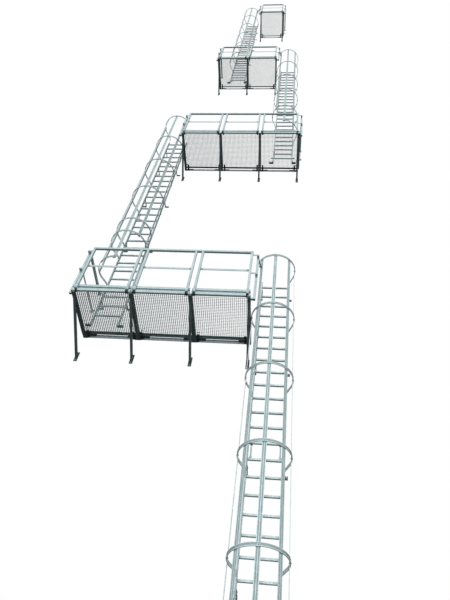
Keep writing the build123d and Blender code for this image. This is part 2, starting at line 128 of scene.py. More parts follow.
class Shape:
    """Gathers faces until they become one piece."""

    def __init__(self):
        self.points = []
        self.faces = []

    def loft(self, rings, closed=False):
        """Skin over rings that have the same number of points, capped unless it closes on itself."""
        start = len(self.points)
        count = len(rings[0])
        for ring in rings:
            self.points.extend(Vector(p) for p in ring)
        last = len(rings) if closed else len(rings) - 1
        for row in range(last):
            here = start + row * count
            after = start + (row + 1) % len(rings) * count
            for i in range(count):
                j = (i + 1) % count
                self.faces.append((here + i, here + j, after + j, after + i))
        if not closed:
            self.faces.append(tuple(start + i for i in reversed(range(count))))
            self.faces.append(tuple(start + (len(rings) - 1) * count + i for i in range(count)))

    def block(self, place, size, edge):
        """Block with broken edges, centred on a placement matrix."""
        half = Vector(size) / 2
        edge = min(edge, EDGE_LIMIT * min(size))
        taper = edge * EDGE_TAPER

        def ring(z, inset):
            """Outline with cut corners at a height."""
            x = half.x - inset
            y = half.y - inset
            outline = [
                (x - edge, -y), (x, -y + edge), (x, y - edge), (x - edge, y),
                (-x + edge, y), (-x, y - edge), (-x, -y + edge), (-x + edge, -y),
            ]
            return [place @ Vector((px, py, z)) for px, py in outline]

        z = half.z
        self.loft([ring(-z, taper), ring(-z + edge, 0), ring(z - edge, 0), ring(z, taper)])

    def brick(self, spot, size, edge):
        """Block in line with the axes, centred on a spot."""
        self.block(Matrix.Translation(spot), size, edge)

    def turned(self, place, profile, sides):
        """Solid of revolution about the placement's Z; the profile lists radius and height."""
        rings = []
        for radius, height in profile:
            ring = []
            for i in range(sides):
                turn = 2 * math.pi * i / sides
                ring.append(place @ Vector((radius * math.cos(turn), radius * math.sin(turn), height)))
            rings.append(ring)
        self.loft(rings)

    def strip(self, point, width, outline):
        """Bent strip; its outline lists Y and Z from a point, and the point's X is its middle."""
        x, y, z = point
        rings = []
        for px in (x - width / 2, x + width / 2):
            rings.append([(px, y + dy, z + dz) for dy, dz in outline])
        self.loft(rings)

    def bead(self, path, radius, closed=False):
        """Weld seam along a path, a little uneven in thickness."""
        rings = []
        count = len(path)
        for i, point in enumerate(path):
            point = Vector(point)
            before = Vector(path[i - 1]) if i or closed else point
            after = Vector(path[(i + 1) % count]) if i + 1 < count or closed else point
            along = (after - before).normalized()
            if abs(along.z) < STEEP:
                side = along.cross(Vector(UP)).normalized()
            else:
                side = along.orthogonal().normalized()
            across = side.cross(along)
            size = radius * (1 + SEAM_RIPPLE * math.sin(SEAM_RIPPLE_STEP * i))
            ring = []
            for k in range(SEAM_SIDES):
                turn = 2 * math.pi * k / SEAM_SIDES
                ring.append(point + size * (math.cos(turn) * side + math.sin(turn) * across))
            rings.append(ring)
        self.loft(rings, closed=closed)

    def seam(self, start, along, steps, radius):
        """Straight weld seam from a point, over a distance along X, Y and Z."""
        path = []
        for i in range(steps + 1):
            path.append([first + length * i / steps for first, length in zip(start, along)])
        self.bead(path, radius)

    def finish(self, name, material, sharp=SHARP_ANGLE):
        """Makes the piece; edges sharper than an angle in degrees stay sharp."""
        mesh = bpy.data.meshes.new(name)
        mesh.from_pydata([tuple(p) for p in self.points], [], self.faces)
        build = bmesh.new()
        build.from_mesh(mesh)
        bmesh.ops.recalc_face_normals(build, faces=build.faces)
        build.to_mesh(mesh)
        build.free()
        mesh.shade_smooth()
        mesh.set_sharp_from_angle(angle=math.radians(sharp))
        mesh.materials.append(material)
        piece = bpy.data.objects.new(name, mesh)
        bpy.context.scene.collection.objects.link(piece)
        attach(piece, "root")


def at(point, direction, twist=0.0):
    """Placement with its Z along a direction."""
    turn = Vector(direction).to_track_quat("Z", "Y").to_matrix().to_4x4()
    return Matrix.Translation(Vector(point)) @ turn @ Matrix.Rotation(twist, 4, "Z")


def square_outline(half):
    """Points round a square, counted from its middle and closer together at the corners."""
    outline = []
    for turn in range(4):
        for step in SQUARE_STEPS:
            a, b = [(step, -1), (1, step), (-step, 1), (-1, -step)][turn]
            outline.append((a * half, b * half))
    return outline


# Fasteners; profiles list radius and height, and only those of anchors are wholly in metres
# Heads, nuts and domes are shares of their size, and a washer's radius is a share of its head's
HEXAGON = 6
WASHER_REACH = ((1.45, 0), (1.5, 0.0006), (1.42, 0.002))
WASHER_SIDES = 16
BOLT_HEAD = ((1, 0), (1, 0.32), (0.82, 0.4))
BOLT_TWIST = 0.3
NUT_BODY = ((0.86, 0), (1, 0.08), (1, 0.38), (0.86, 0.45))
NUT_TWIST = 0.1
THREAD = ((0.5, 0), (0.5, 0.62), (0.38, 0.7))
THREAD_SIDES = 10
DOME = ((1, 0), (0.93, 0.25), (0.7, 0.45), (0.35, 0.57), (0.08, 0.6))
DOME_SIDES = 14
ANCHOR_WASHER = ((0.0125, 0), (0.013, 0.0007), (0.0123, 0.0025))
ANCHOR_WASHER_SIDES = 18
ANCHOR_NUT = ((0.0105, 0), (0.0108, 0.001), (0.0108, 0.008), (0.0092, 0.0095))
ANCHOR_TWIST = 0.2
ANCHOR_STUD = ((0.0058, -0.007), (0.0058, 0.017), (0.0048, 0.0185))
ANCHOR_STUD_SIDES = 12


def scaled(profile, radius, height):
    """Profile in metres from one that lists shares of a radius and a height."""
    return [(radius * across, height * along) for across, along in profile]


def washer(shape, point, direction, radius, twist):
    """Washer on a face, and the placement of the head that sits on it."""
    shape.turned(at(point, direction, twist), scaled(WASHER_REACH, radius, 1), WASHER_SIDES)
    top = Vector(point) + Vector(direction).normalized() * WASHER_REACH[-1][1]
    return at(top, direction, twist)


def bolt(shape, point, direction, size):
    """Washer and hexagon head, seated on a face; size is the head's width over its corners."""
    head = washer(shape, point, direction, size / 2, BOLT_TWIST)
    shape.turned(head, scaled(BOLT_HEAD, size / 2, size), HEXAGON)


def nut(shape, point, direction, size):
    """Washer, hexagon nut and the bolt's threaded end; size is the nut's width over its corners."""
    head = washer(shape, point, direction, size / 2, NUT_TWIST)
    shape.turned(head, scaled(NUT_BODY, size / 2, size), HEXAGON)
    shape.turned(head, scaled(THREAD, size / 2, size), THREAD_SIDES)


def dome(shape, point, direction, radius):
    """Round head of a carriage bolt."""
    shape.turned(at(point, direction), scaled(DOME, radius, radius), DOME_SIDES)


def anchor(shape, point):
    """Wide washer, nut and stud end of a wall anchor, and its shaft in the hole."""
    place = at(point, TO_FRONT)
    shape.turned(place, ANCHOR_WASHER, ANCHOR_WASHER_SIDES)
    on_washer = point + Vector((0, -ANCHOR_WASHER[-1][1], 0))
    shape.turned(at(on_washer, TO_FRONT, ANCHOR_TWIST), ANCHOR_NUT, HEXAGON)
    shape.turned(place, ANCHOR_STUD, ANCHOR_STUD_SIDES)


# Zinc finish: noise scales are per metre, lengths are in metres, and the rest are shares
SPECULAR = 0.12
CRYSTAL_SCALE = 85
STREAK_STRETCH = (45, 45, 0.9)
STREAK_DEPTH = 0.7
MOTTLE_SCALE = 7
MOTTLE_DETAIL = 5
RUB_SCALE = 40
RUB_SAMPLES = 3
RUB_RADIUS = 0.0018
RUB_START = 0.995
RUB_END = 0.86
RUB_GAIN = 1.12
RUB_LIFT = 0.03
# Painted shade near the wall: where it starts, where it is full, and how strong it gets
SHADE_FROM_Y = -0.14
SHADE_FULL_Y = -0.09
SHADE_SHARE = 0.95
GLOSS_RANGE = 0.4
GLOSS_DEPTH = 0.1
GRAIN_SCALE = 420
RELIEF_DISTANCE = 0.0006


def steel(name, light, dark, metallic, rough, spangle=0.5, bump=0.12, wear=0.5, shade_colour=None):
    """Hot-dip zinc: crystals, slow mottling and rain streaks over a soft metallic sheen."""
    material = bpy.data.materials.new(name)
    material.use_nodes = True
    nodes = material.node_tree.nodes
    links = material.node_tree.links
    nodes.clear()
    output = nodes.new("ShaderNodeOutputMaterial")
    shader = nodes.new("ShaderNodeBsdfPrincipled")
    shader.inputs["Metallic"].default_value = metallic
    shader.inputs["Specular IOR Level"].default_value = SPECULAR
    links.new(shader.outputs["BSDF"], output.inputs["Surface"])
    place = nodes.new("ShaderNodeTexCoord")

    def noise(scale, detail, stretch=(1, 1, 1)):
        """Noise over the object's own space."""
        mapping = nodes.new("ShaderNodeMapping")
        mapping.inputs["Scale"].default_value = stretch
        links.new(place.outputs["Object"], mapping.inputs["Vector"])
        node = nodes.new("ShaderNodeTexNoise")
        node.inputs["Scale"].default_value = scale
        node.inputs["Detail"].default_value = detail
        links.new(mapping.outputs["Vector"], node.inputs["Vector"])
        return node.outputs["Fac"]

    def math_node(kind, first, second):
        """Math node of two numbers or outputs."""
        node = nodes.new("ShaderNodeMath")
        node.operation = kind
        for socket, value in zip(node.inputs, (first, second)):
            if isinstance(value, (int, float)):
                socket.default_value = value
            else:
                links.new(value, socket)
        return node.outputs["Value"]

    def map_range(value, start, end, low, high):
        """Turns the range from start to end into that from low to high."""
        node = nodes.new("ShaderNodeMapRange")
        node.inputs["From Min"].default_value = start
        node.inputs["From Max"].default_value = end
        node.inputs["To Min"].default_value = low
        node.inputs["To Max"].default_value = high
        links.new(value, node.inputs["Value"])
        return node.outputs["Result"]

    def mix(factor, first, second):
        """Blend from a colour or an output to a colour."""
        node = nodes.new("ShaderNodeMix")
        node.data_type = "RGBA"
        links.new(factor, node.inputs["Factor"])
        if isinstance(first, tuple):
            node.inputs["A"].default_value = (*first, 1)
        else:
            links.new(first, node.inputs["A"])
        node.inputs["B"].default_value = (*second, 1)
        return node.outputs["Result"]

    crystals = nodes.new("ShaderNodeTexVoronoi")
    crystals.inputs["Scale"].default_value = CRYSTAL_SCALE
    crystals.inputs["Randomness"].default_value = 1
    links.new(place.outputs["Object"], crystals.inputs["Vector"])
    tint = nodes.new("ShaderNodeSeparateColor")
    links.new(crystals.outputs["Color"], tint.inputs["Color"])
    cells = math_node("MULTIPLY", math_node("SUBTRACT", tint.outputs["Red"], 0.5), spangle)
    streak = math_node("SUBTRACT", noise(1, 3, STREAK_STRETCH), 0.5)
    streaks = math_node("MULTIPLY", streak, STREAK_DEPTH)
    mottling = math_node("SUBTRACT", noise(MOTTLE_SCALE, MOTTLE_DETAIL), 0.5)
    total = math_node("ADD", math_node("ADD", cells, streaks), mottling)
    surface = mix(math_node("ADD", total, 0.5), dark, light)

    # Rubbed edges are brighter, found where a rounded normal leaves the real one
    rounded = nodes.new("ShaderNodeBevel")
    rounded.samples = RUB_SAMPLES
    rounded.inputs["Radius"].default_value = RUB_RADIUS
    straight = nodes.new("ShaderNodeNewGeometry")
    facing = nodes.new("ShaderNodeVectorMath")
    facing.operation = "DOT_PRODUCT"
    links.new(rounded.outputs["Normal"], facing.inputs[0])
    links.new(straight.outputs["Normal"], facing.inputs[1])
    edge = map_range(facing.outputs["Value"], RUB_START, RUB_END, 0, wear)
    rubbed = math_node("MULTIPLY", edge, noise(RUB_SCALE, 2))
    surface = mix(rubbed, surface, tuple(min(1, RUB_GAIN * v + RUB_LIFT) for v in light))

    # Painted shade: the colour darkens on what lies close to the wall, where the floor casts its shadow
    if shade_colour:
        depth = nodes.new("ShaderNodeSeparateXYZ")
        links.new(place.outputs["Object"], depth.inputs["Vector"])
        wall_shade_mask = map_range(depth.outputs["Y"], SHADE_FROM_Y, SHADE_FULL_Y, 0, SHADE_SHARE)
        surface = mix(wall_shade_mask, surface, shade_colour)
    links.new(surface, shader.inputs["Base Color"])

    gloss = map_range(total, -GLOSS_RANGE, GLOSS_RANGE, rough + GLOSS_DEPTH, rough - GLOSS_DEPTH)
    links.new(gloss, shader.inputs["Roughness"])

    grain = math_node("MULTIPLY", noise(GRAIN_SCALE, 3), 0.5)
    relief = nodes.new("ShaderNodeBump")
    relief.inputs["Strength"].default_value = bump
    relief.inputs["Distance"].default_value = RELIEF_DISTANCE
    links.new(math_node("ADD", grain, crystals.outputs["Distance"]), relief.inputs["Height"])
    links.new(relief.outputs["Normal"], shader.inputs["Normal"])
    return material


ZINC_LIGHT = (0.53, 0.64, 0.655)
ZINC_DARK = (0.35, 0.44, 0.455)
# Colour of the painted shade on members close to the wall
WALL_SHADE = (0.06, 0.08, 0.08)

# Finishes, each with a light and a dark colour, a metallic share and a roughness
bright = steel("bright_zinc", ZINC_LIGHT, ZINC_DARK, 0.03, 0.55)
fresh = steel("fresh_zinc", (0.66, 0.78, 0.795), (0.46, 0.56, 0.575), 0.03, 0.55)
# Rim finish with painted shade on its members close to the wall
rim_zinc = steel("rim_zinc", ZINC_LIGHT, ZINC_DARK, 0.03, 0.55, shade_colour=WALL_SHADE)
aged = steel("aged_zinc", (0.36, 0.44, 0.455), (0.21, 0.27, 0.285), 0.03, 0.6)
# Near-black zinc as painted shade, for brackets and their bolts and seams under the landings
shade = steel("painted_shade_zinc", (0.13, 0.17, 0.17), (0.05, 0.075, 0.075), 0.04, 0.68, wear=0.3)
grid = steel("grating_zinc", (0.46, 0.56, 0.57), (0.26, 0.33, 0.34), 0.05, 0.6, wear=0.3)
# Darker zinc as painted shade in the grooves between the strap ribs
strap_groove_shade = steel("strap_groove_shade_zinc", (0.38, 0.46, 0.47), (0.24, 0.30, 0.31), 0.03, 0.7, wear=0.2)
# Darker zinc as painted shade in the recess between the hoop ribs
groove = steel("hoop_groove_shade_zinc", (0.40, 0.48, 0.49), (0.25, 0.31, 0.32), 0.03, 0.7, wear=0.2)
fastener = steel("bolt_zinc", (0.50, 0.58, 0.60), (0.28, 0.35, 0.36), 0.2, 0.45, spangle=0.3, wear=0.7)
blackened = steel("dark_clamp", (0.045, 0.06, 0.058), (0.02, 0.028, 0.028), 0.05, 0.6, wear=0.4)
cap_grey = steel("cap_grey", (0.42, 0.48, 0.49), (0.31, 0.36, 0.37), 0.0, 0.5, spangle=0.1, bump=0.05)
plastic = steel("cap_plastic", (0.03, 0.035, 0.035), (0.018, 0.022, 0.022), 0.0, 0.5, spangle=0.1, bump=0.05)

# The longest ending that fits a CAD node's name gives its finish
NODE_FINISH = {
    "stiles": bright,
    "rungs": fresh,
    "cage_hoops": fresh,
    "cage_straps": fresh,
    "floor_frames": rim_zinc,
    "gratings": grid,
    # Brackets take the painted-shade zinc
    "brackets": shade,
    "posts": bright,
    "rails": bright,
    # Wall rails take the lighter zinc as painted light, lifting the shade they sit in under the landing
    "wall_rails": fresh,
    "splices": bright,
    "feet": bright,
    "clamps": bright,
    "boards": bright,
}


def dress_nodes():
    """Gives each CAD node its finish."""
    for name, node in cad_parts.items():
        ending = max((e for e in NODE_FINISH if name.endswith(e)), key=len)
        node.data.materials.clear()
        node.data.materials.append(NODE_FINISH[ending])


# Cage; a section lists distance out of the face and height, and angles are in degrees
HOOP_STEP = 5
TAIL_TOLERANCE = 1
RIB_SECTION = ((0, 0.0), (0.0045, 0.001), (0.006, 0.003), (0.006, 0.008), (0.004, 0.0115), (0, 0.0135))
HOOP_STRIP_SECTION = ((-0.0002, 0.013), (0.0006, 0.013), (0.0006, 0.037), (-0.0002, 0.037))
STRAP_STRIP_X = 0.013
STRAP_STRIP_FACE = 0.3495
STRAP_STRIP_WIDTH = 0.0165
STRAP_STRIP_DEPTH = 0.0012
STRAP_STRIP_GAP = 0.002
STRAP_STRIP_EDGE = 0.0003
STRAP_MARGIN = 3
STRAP_NUT = 0.017
STRAP_DOME = 0.011
TAIL_BOLT = 0.014
TAIL_BOLT_STEP = 0.011


def cage_direction(angle):
    """Outward direction of the cage circle, counted from the front towards +X."""
    turn = math.radians(angle)
    return Vector((math.sin(turn), -math.cos(turn), 0))


def flight_x(flight):
    """Middle X of a flight."""
    low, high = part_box(f"flight_{flight}_stiles")
    return (low.x + high.x) / 2


def hoop_line(points, x):
    """Outer line of a hoop in plan, its lowest and highest angle, and the sides where it has a tail."""
    middle = Vector((x, CAGE_Y, 0))
    angles = []
    for point in points:
        out = point - middle
        out.z = 0
        if abs(out.length - CAGE_RADIUS) < NEAR:
            angles.append(math.degrees(math.atan2(out.x, -out.y)))
    low, high = min(angles), max(angles)
    tail_x = STILE_OUTER + HOOP_THICKNESS
    line = []
    tails = []
    if low < TAIL_TOLERANCE - HOOP_TAIL_ANGLE:
        line += [Vector((x - tail_x, HOOP_TAIL_END_Y, 0)), Vector((x - tail_x, HOOP_BEND_Y, 0))]
        tails.append(-1)
    steps = max(2, round((high - low) / HOOP_STEP))
    for i in range(steps + 1):
        line.append(middle + CAGE_RADIUS * cage_direction(low + (high - low) * i / steps))
    if high > HOOP_TAIL_ANGLE - TAIL_TOLERANCE:
        line += [Vector((x + tail_x, HOOP_BEND_Y, 0)), Vector((x + tail_x, HOOP_TAIL_END_Y, 0))]
        tails.append(1)
    return line, low, high, tails


def hoop_sections(line, z, section):
    """Rings of one section along a hoop's line, each turned to face away from the cage."""
    rings = []
    for i, point in enumerate(line):
        before = line[max(i - 1, 0)]
        after = line[min(i + 1, len(line) - 1)]
        along = (after - before).normalized()
        out = Vector((along.y, -along.x, 0))
        rings.append([point + out * n + Vector((0, 0, z + h)) for n, h in section])
    return rings


def hoop_details(flight):
    """Two raised ribs along the edges of each band, and a darker strip between them, painted shade in the
    recess.
    """
    ribs = Shape()
    strips = Shape()
    x = flight_x(flight)
    upper_rib = [(n, -h) for n, h in reversed(RIB_SECTION)]
    for points in solids(f"flight_{flight}_cage_hoops"):
        low, high = corners(points)
        line = hoop_line(points, x)[0]
        ribs.loft(hoop_sections(line, low.z, RIB_SECTION))
        ribs.loft(hoop_sections(line, high.z, upper_rib))
        strips.loft(hoop_sections(line, low.z, HOOP_STRIP_SECTION))
    ribs.finish(f"flight_{flight}_hoop_ribs", fresh)
    strips.finish(f"flight_{flight}_hoop_grooves", groove)


def strap_angles(flight):
    """Angle and height range of each strap."""
    middle = Vector((flight_x(flight), CAGE_Y, 0))
    found = []
    for low, high in boxes(f"flight_{flight}_cage_straps"):
        out = (low + high) / 2 - middle
        found.append((math.degrees(math.atan2(out.x, -out.y)), low.z, high.z))
    return found


def strap_details(flight):
    """Darker strips between the ribs of each strap, painted shade in the grooves."""
    shape = Shape()
    middle = Vector((flight_x(flight), CAGE_Y, 0))
    for angle, bottom, top in strap_angles(flight):
        turn = Matrix.Rotation(math.radians(angle), 4, "Z")
        size = (STRAP_STRIP_WIDTH, STRAP_STRIP_DEPTH, top - bottom - STRAP_STRIP_GAP)
        for side in SIDES:
            spot = turn @ Vector((side * STRAP_STRIP_X, -STRAP_STRIP_FACE, 0))
            place = Matrix.Translation(middle + spot + Vector((0, 0, (bottom + top) / 2))) @ turn
            shape.block(place, size, STRAP_STRIP_EDGE)
    shape.finish(f"flight_{flight}_strap_grooves", strap_groove_shade)


def cage_bolts(flight):
    """Bolts where straps cross hoops, and through the hoop tails into the stiles."""
    shape = Shape()
    x = flight_x(flight)
    middle = Vector((x, CAGE_Y, 0))
    straps = strap_angles(flight)
    for points in solids(f"flight_{flight}_cage_hoops"):
        low, high = corners(points)
        z = (low.z + high.z) / 2
        _, first, last, tails = hoop_line(points, x)
        for angle, bottom, top in straps:
            if first - STRAP_MARGIN < angle < last + STRAP_MARGIN and bottom < z < top:
                out = cage_direction(angle)
                level = Vector((0, 0, z))
                nut(shape, middle + out * CAGE_RADIUS + level, out, STRAP_NUT)
                dome(shape, middle + out * STRAP_INNER_FACE + level, -out, STRAP_DOME)
        for side in tails:
            for step in (-TAIL_BOLT_STEP, TAIL_BOLT_STEP):
                face = (x + side * (STILE_OUTER + HOOP_THICKNESS), STILE_Y, z + step)
                bolt(shape, face, (side, 0, 0), TAIL_BOLT)
    shape.finish(f"flight_{flight}_cage_bolts", fastener)


# Rungs and stiles
GRIP_COUNT = 5
GRIP_MARGIN = 0.7
GRIP_INSET = 0.012
GRIP_SECTION = ((-0.0018, -0.0005), (-0.00055, 0.0016), (0.00055, 0.0016), (0.0018, -0.0005))
RUNG_WELD_INSET = 0.0015
RUNG_WELD_GAP = 0.0006
RUNG_WELD = 0.0028
STILE_LIP = 0.004
STILE_LIP_EDGE = 0.0014
STILE_PLUG = 0.024
STILE_PLUG_INSET = 0.0065
STILE_PLUG_EDGE = 0.001
TIE_BOLT = 0.012
TIE_BOLT_X = 0.016
TIE_BOLT_RISE = 0.010
TIE_CLIP = (0.034, 0.022, 0.024)
TIE_CLIP_EDGE = 0.002
TIE_CLIP_NUT = 0.018
FOOT_BOLT = 0.016
FOOT_BOLT_STEP = 0.015
FOOT_BOLT_RISE = 0.045
FOOT_ANCHOR = 0.018
FOOT_ANCHOR_REACH = 0.045


def rung_details(flight):
    """Grip ribs on top of each rung and a weld all round at both ends."""
    grip = Shape()
    welds = Shape()
    around = square_outline(RUNG_SIZE / 2 + RUNG_WELD_GAP)
    for low, high in boxes(f"flight_{flight}_rungs"):
        middle = (low + high) / 2
        for i in range(GRIP_COUNT):
            y = low.y + RUNG_SIZE * (i + GRIP_MARGIN) / (GRIP_COUNT - 1 + 2 * GRIP_MARGIN)
            rings = []
            for px in (low.x + GRIP_INSET, high.x - GRIP_INSET):
                rings.append([(px, y + dy, high.z + dz) for dy, dz in GRIP_SECTION])
            grip.loft(rings)
        for px in (low.x + RUNG_WELD_INSET, high.x - RUNG_WELD_INSET):
            path = [(px, middle.y + dy, middle.z + dz) for dy, dz in around]
            welds.bead(path, RUNG_WELD, closed=True)
    grip.finish(f"flight_{flight}_rung_grip", fresh)
    welds.finish(f"flight_{flight}_rung_welds", aged, SEAM_SHARP_ANGLE)


def stile_caps(flight):
    """Plugs in both ends of each stile tube."""
    shape = Shape()
    for low, high in boxes(f"flight_{flight}_stiles"):
        centre = (low + high) / 2
        size = high - low
        for z, side in ((high.z, 1), (low.z, -1)):
            lip = (centre.x, centre.y, z + side * STILE_LIP / 2)
            shape.brick(lip, (size.x, size.y, STILE_LIP), STILE_LIP_EDGE)
            plug = (centre.x, centre.y, z - side * STILE_PLUG / 2)
            plug_size = (size.x - STILE_PLUG_INSET, size.y - STILE_PLUG_INSET, STILE_PLUG)
            shape.brick(plug, plug_size, STILE_PLUG_EDGE)
    shape.finish(f"flight_{flight}_stile_caps", cap_grey)


def splice_details():
    """Dark clips under the upper rungs, and bolts in the flared feet of the ties."""
    shape = Shape()
    clips = Shape()
    _, depth, height = TIE_CLIP
    for low, high in boxes("stile_splices"):
        centre = (low + high) / 2
        for side in SIDES:
            spot = (centre.x + side * TIE_BOLT_X, low.y, low.z + TIE_BOLT_RISE)
            bolt(shape, spot, TO_FRONT, TIE_BOLT)
        clip_z = high.z - height / 2
        clips.brick((centre.x, centre.y, clip_z), TIE_CLIP, TIE_CLIP_EDGE)
        nut(clips, (centre.x, centre.y - depth / 2, clip_z), TO_FRONT, TIE_CLIP_NUT)
    shape.finish("splice_bolts", fastener)
    clips.finish("splice_clips", blackened)


def flight_gap(flight, z):
    """How far a height lies outside a flight's stiles."""
    low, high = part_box(f"flight_{flight}_stiles")
    return max(low.z - z, z - high.z, 0)


def foot_bolts():
    """Bolts of the angle feet, into the stiles and into the floor."""
    shape = Shape()
    for low, high in boxes("stile_feet"):
        centre = (low + high) / 2
        nearest = min(FLIGHTS, key=lambda f: abs(flight_x(f) - centre.x) + flight_gap(f, centre.z))
        side = 1 if centre.x > flight_x(nearest) else -1
        face = flight_x(nearest) + side * (STILE_OUTER + FOOT_THICKNESS)
        for step in (-FOOT_BOLT_STEP, FOOT_BOLT_STEP):
            bolt(shape, (face, centre.y + step, low.z + FOOT_BOLT_RISE), (side, 0, 0), FOOT_BOLT)
        toe = (face + side * FOOT_ANCHOR_REACH, centre.y, low.z + FOOT_THICKNESS)
        bolt(shape, toe, UP, FOOT_ANCHOR)
    shape.finish("foot_bolts", fastener)


# Wall brackets
BRACKET_BOLT = 0.016
BRACKET_BOLT_STEP = 0.016
BRACKET_BOLT_SLANT = 0.6
BRACKET_WELD = 0.0032
BRACKET_WELD_Y = -0.009
BRACKET_WELD_INSET = 0.004
BRACKET_WELD_STEPS = 12


def bracket_sides(low, high, x):
    """Sides of the ladder that a wall bracket serves: one for a bent arm, both for a joined pair."""
    if high.x - low.x > STILE_INNER:
        return SIDES
    return (1,) if low.x > x else (-1,)


def wall_bracket_bolts(flight):
    """Through bolts of the arms and the anchors in the holes at the wall."""
    shape = Shape()
    x = flight_x(flight)
    for low, high in boxes(f"flight_{flight}_wall_brackets"):
        z = (low.z + high.z) / 2
        for side in bracket_sides(low, high, x):
            for step in (-BRACKET_BOLT_STEP, BRACKET_BOLT_STEP):
                y = STILE_Y + step * BRACKET_BOLT_SLANT
                inside = (x + side * (STILE_INNER - BRACKET_THICKNESS), y, z + step)
                bolt(shape, inside, (-side, 0, 0), BRACKET_BOLT)
                nut(shape, (x + side * STILE_OUTER, y, z + step), (side, 0, 0), BRACKET_BOLT)
            anchor(shape, Vector((x + side * BRACKET_HOLE_X, -BRACKET_THICKNESS, z)))
    shape.finish(f"flight_{flight}_wall_anchors", fastener)


def bracket_welds(flight):
    """Seams along the bends, at the wall."""
    shape = Shape()
    x = flight_x(flight)
    for low, high in boxes(f"flight_{flight}_wall_brackets"):
        along = (0, 0, high.z - low.z - 2 * BRACKET_WELD_INSET)
        for side in bracket_sides(low, high, x):
            start = (x + side * STILE_INNER, BRACKET_WELD_Y, low.z + BRACKET_WELD_INSET)
            shape.seam(start, along, BRACKET_WELD_STEPS, BRACKET_WELD)
    shape.finish(f"flight_{flight}_bracket_welds", aged, SEAM_SHARP_ANGLE)


# Gratings
ROD_PITCH = 0.034
ROD_HALF = 0.0038
ROD_DROP = 0.0045
ROD_INSET = 0.001
ROD_STEPS = 28
SADDLE = (0.046, 0.024, 0.0024)
SADDLE_EDGE = 0.0008
SADDLE_INSET_X = 0.0515
SADDLE_INSET_Y = 0.06
SADDLE_BOLT = 0.013


def twisted_rod(shape, x0, x1, y, z):
    """Square rod with a steady twist, an eighth of a turn a step."""
    rings = []
    for i in range(ROD_STEPS + 1):
        x = x0 + (x1 - x0) * i / ROD_STEPS
        ring = []
        for k in range(4):
            turn = math.pi / 4 + math.pi / 2 * k + math.pi / 4 * i
            ring.append((x, y + ROD_HALF * math.cos(turn), z + ROD_HALF * math.sin(turn)))
        rings.append(ring)
    shape.loft(rings)


def grating_details(landing):
    """Cross rods through the bearing bars and saddle clips near the corners."""
    rods = Shape()
    clips = Shape()
    half = SADDLE[2] / 2
    for low, high in boxes(f"landing_{landing}_gratings"):
        count = round((high.y - low.y) / ROD_PITCH)
        for i in range(1, count):
            y = low.y + (high.y - low.y) * i / count
            twisted_rod(rods, low.x + ROD_INSET, high.x - ROD_INSET, y, high.z - ROD_DROP)
        for px in (low.x + SADDLE_INSET_X, high.x - SADDLE_INSET_X):
            for py in (low.y + SADDLE_INSET_Y, high.y - SADDLE_INSET_Y):
                middle = Vector((px, py, high.z + half))
                clips.brick(middle, SADDLE, SADDLE_EDGE)
                bolt(clips, middle + Vector((0, 0, half)), UP, SADDLE_BOLT)
    rods.finish(f"landing_{landing}_grating_rods", fresh)
    clips.finish(f"landing_{landing}_grating_clips", fastener)


# Posts and the hook clips under them; an outline lists Y and Z from the rim's underside at the post
POST_PLUG = (0.039, 0.039, 0.003)
POST_PLUG_EDGE = 0.0012
TALL_POST = 1.15
POST_BOLT = 0.018
POST_NUT = 0.016
POST_NUT_DEPTH = 0.0045
POST_BOLT_DROP = 0.022
TOE_BAND_RISE = 0.048
POST_SEAM = 0.003
POST_SEAM_HALF = 0.0205
POST_SEAM_DROP = 0.001
END_POST_REACH = 0.1
END_HOOK_SHIFT = 0.010
END_HOOK_WIDTH = 0.022
END_HOOK_NUT = 0.014
HOOK_WIDTH = 0.046
HOOK_NUT = 0.021
HOOK_NUT_Y = 0.018
HOOK_NUT_DROP = 0.034
HOOK_OUTLINE = (
    (-0.016, 0.017), (-0.016, -0.018), (-0.002, -0.034), (0.038, -0.034), (0.052, -0.018),
    (0.052, 0.010), (0.041, 0.010), (0.041, -0.014), (0.033, -0.023), (0.003, -0.023),
    (-0.005, -0.014), (-0.005, 0.017),
)


def hook(shape, x, y, z, width, nut_size):
    """Hook clip that reaches from inside a post to the rim's underside, at the given height."""
    shape.strip((x, y, z), width, HOOK_OUTLINE)
    nut(shape, (x, y + HOOK_NUT_Y, z - HOOK_NUT_DROP), DOWN, nut_size)


